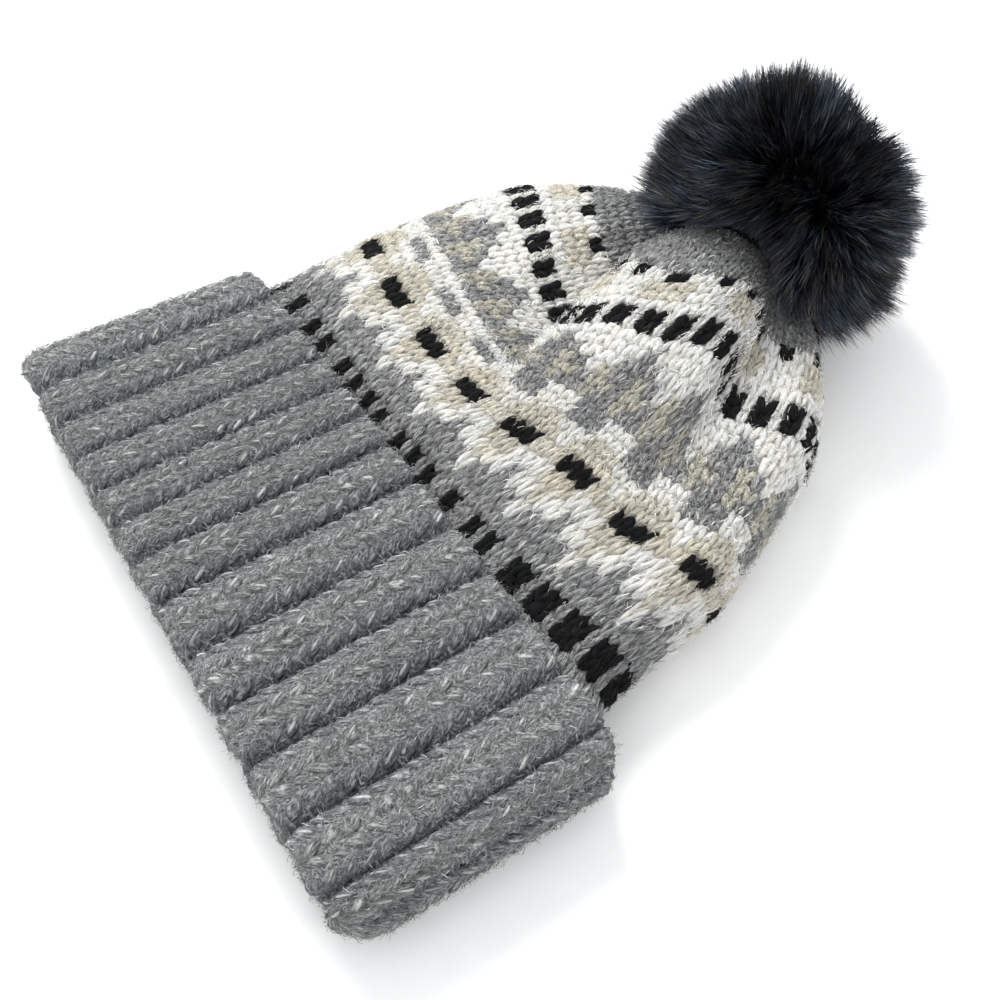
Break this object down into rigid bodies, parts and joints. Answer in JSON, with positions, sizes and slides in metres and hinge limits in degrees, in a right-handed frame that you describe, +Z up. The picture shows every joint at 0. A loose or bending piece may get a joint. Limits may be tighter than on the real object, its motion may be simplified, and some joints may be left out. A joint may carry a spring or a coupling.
{
  "type": "knitted beanie",
  "caption": "Knitted fair-isle beanie lying flat, with a turned-up ribbed cuff and a round fur pompom; worn on the head for warmth.",
  "frame": {"origin": "centre of the box on the table, directly under the middle of the hat", "axes": "+X across the hat, towards the cuff's right end seen from above; +Y from the mouth to the gathered top; +Z up, out of the table"},
  "size_m": [0.2232, 0.2857, 0.0936],
  "materials": {
    "crown_knit": "matt brushed wool knit, heather grey with white, beige and black pattern",
    "cuff_rib": "matt chunky rib knit, heather grey with light flecks",
    "pompom_fur": "soft long fur with a slight sheen, charcoal navy"
  },
  "bodies": {
    "root": {"crown": "crown_knit", "cuff": "cuff_rib", "pompom": "pompom_fur"}
  },
  "joints": []
}
